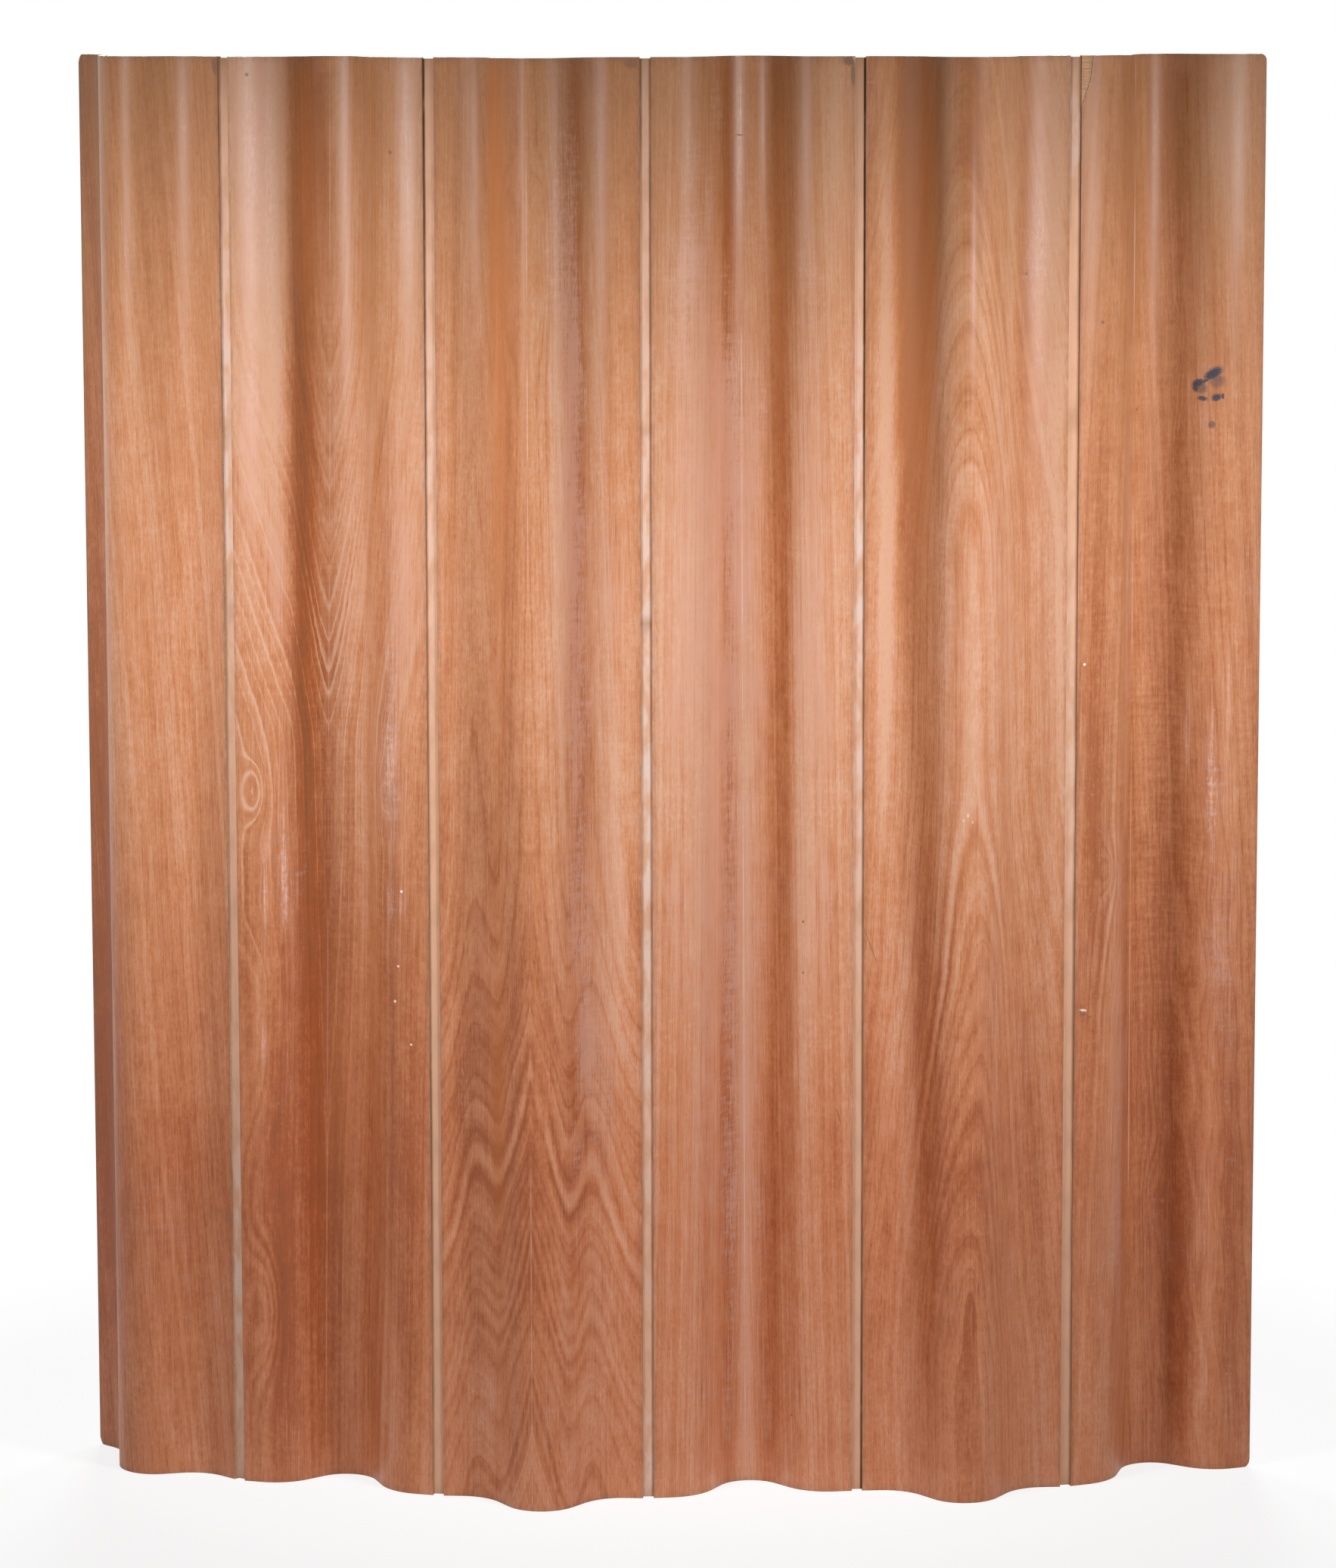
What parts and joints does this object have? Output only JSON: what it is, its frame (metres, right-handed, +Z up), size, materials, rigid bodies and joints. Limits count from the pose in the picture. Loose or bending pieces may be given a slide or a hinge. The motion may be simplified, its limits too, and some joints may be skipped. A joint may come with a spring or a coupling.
{
  "type": "folding screen",
  "caption": "Free-standing folding screen of moulded plywood panels, each pressed into one deep wave, joined edge to edge by full-height canvas hinges.",
  "frame": {"origin": "on the floor, at the middle of the standing screen's footprint", "axes": "+Z up, -Y towards the front (the side in the picture), +X to the right seen from the front"},
  "size_m": [1.4252, 0.3064, 1.727],
  "materials": {
    "face_veneer": "satin",
    "inner_ply": "raw",
    "canvas": "matte"
  },
  "bodies": {
    "panel_1": {"panel_1_front_veneer": "face_veneer", "panel_1_front_crossband": "inner_ply", "panel_1_core": "inner_ply", "panel_1_back_crossband": "inner_ply", "panel_1_back_veneer": "face_veneer", "hinge_1_left_tongue": "canvas"},
    "panel_2": {"panel_2_front_veneer": "face_veneer", "panel_2_front_crossband": "inner_ply", "panel_2_core": "inner_ply", "panel_2_back_crossband": "inner_ply", "panel_2_back_veneer": "face_veneer", "hinge_1_right_tongue": "canvas", "hinge_2_left_tongue": "canvas"},
    "panel_3": {"panel_3_front_veneer": "face_veneer", "panel_3_front_crossband": "inner_ply", "panel_3_core": "inner_ply", "panel_3_back_crossband": "inner_ply", "panel_3_back_veneer": "face_veneer", "hinge_2_right_tongue": "canvas", "hinge_3_left_tongue": "canvas"},
    "panel_4": {"panel_4_front_veneer": "face_veneer", "panel_4_front_crossband": "inner_ply", "panel_4_core": "inner_ply", "panel_4_back_crossband": "inner_ply", "panel_4_back_veneer": "face_veneer", "hinge_3_right_tongue": "canvas", "hinge_4_left_tongue": "canvas"},
    "panel_5": {"panel_5_front_veneer": "face_veneer", "panel_5_front_crossband": "inner_ply", "panel_5_core": "inner_ply", "panel_5_back_crossband": "inner_ply", "panel_5_back_veneer": "face_veneer", "hinge_4_right_tongue": "canvas", "hinge_5_left_tongue": "canvas"},
    "panel_6": {"panel_6_front_veneer": "face_veneer", "panel_6_front_crossband": "inner_ply", "panel_6_core": "inner_ply", "panel_6_back_crossband": "inner_ply", "panel_6_back_veneer": "face_veneer", "hinge_5_right_tongue": "canvas"},
    "canvas_1": {"hinge_1_web": "canvas"},
    "canvas_2": {"hinge_2_web": "canvas"},
    "canvas_3": {"hinge_3_web": "canvas"},
    "canvas_4": {"hinge_4_web": "canvas"},
    "canvas_5": {"hinge_5_web": "canvas"}
  },
  "joints": [
    {"name": "hinge_3_inner_bend", "type": "hinge", "parent": "panel_3", "child": "canvas_3", "pos_m": [-0.03192, -0.09435, 0.8635], "axis": [0, 0, 1], "range_deg": [-95, 85]},
    {"name": "hinge_3_outer_bend", "type": "hinge", "parent": "canvas_3", "child": "panel_4", "pos_m": [-0.02063, -0.09395, 0.8635], "axis": [0, 0, 1], "range_deg": [-95, 85]},
    {"name": "hinge_4_inner_bend", "type": "hinge", "parent": "panel_4", "child": "canvas_4", "pos_m": [0.22026, -0.06438, 0.8635], "axis": [0, 0, -1], "range_deg": [-91.75, 88.25]},
    {"name": "hinge_4_outer_bend", "type": "hinge", "parent": "canvas_4", "child": "panel_5", "pos_m": [0.23152, -0.06334, 0.8635], "axis": [0, 0, -1], "range_deg": [-91.75, 88.25]},
    {"name": "hinge_5_inner_bend", "type": "hinge", "parent": "panel_5", "child": "canvas_5", "pos_m": [0.47376, -0.04853, 0.8635], "axis": [0, 0, 1], "range_deg": [-98.5, 81.5]},
    {"name": "hinge_5_outer_bend", "type": "hinge", "parent": "canvas_5", "child": "panel_6", "pos_m": [0.48482, -0.04618, 0.8635], "axis": [0, 0, 1], "range_deg": [-98.5, 81.5]},
    {"name": "hinge_2_inner_bend", "type": "hinge", "parent": "panel_3", "child": "canvas_2", "pos_m": [-0.27429, -0.08165, 0.8635], "axis": [0, 0, 1], "range_deg": [-83.75, 96.25]},
    {"name": "hinge_2_outer_bend", "type": "hinge", "parent": "canvas_2", "child": "panel_2", "pos_m": [-0.28544, -0.07983, 0.8635], "axis": [0, 0, 1], "range_deg": [-83.75, 96.25]},
    {"name": "hinge_1_inner_bend", "type": "hinge", "parent": "panel_2", "child": "canvas_1", "pos_m": [-0.51931, -0.01497, 0.8635], "axis": [0, 0, -1], "range_deg": [-103, 77]},
    {"name": "hinge_1_outer_bend", "type": "hinge", "parent": "canvas_1", "child": "panel_1", "pos_m": [-0.52924, -0.00958, 0.8635], "axis": [0, 0, -1], "range_deg": [-103, 77]}
  ]
}
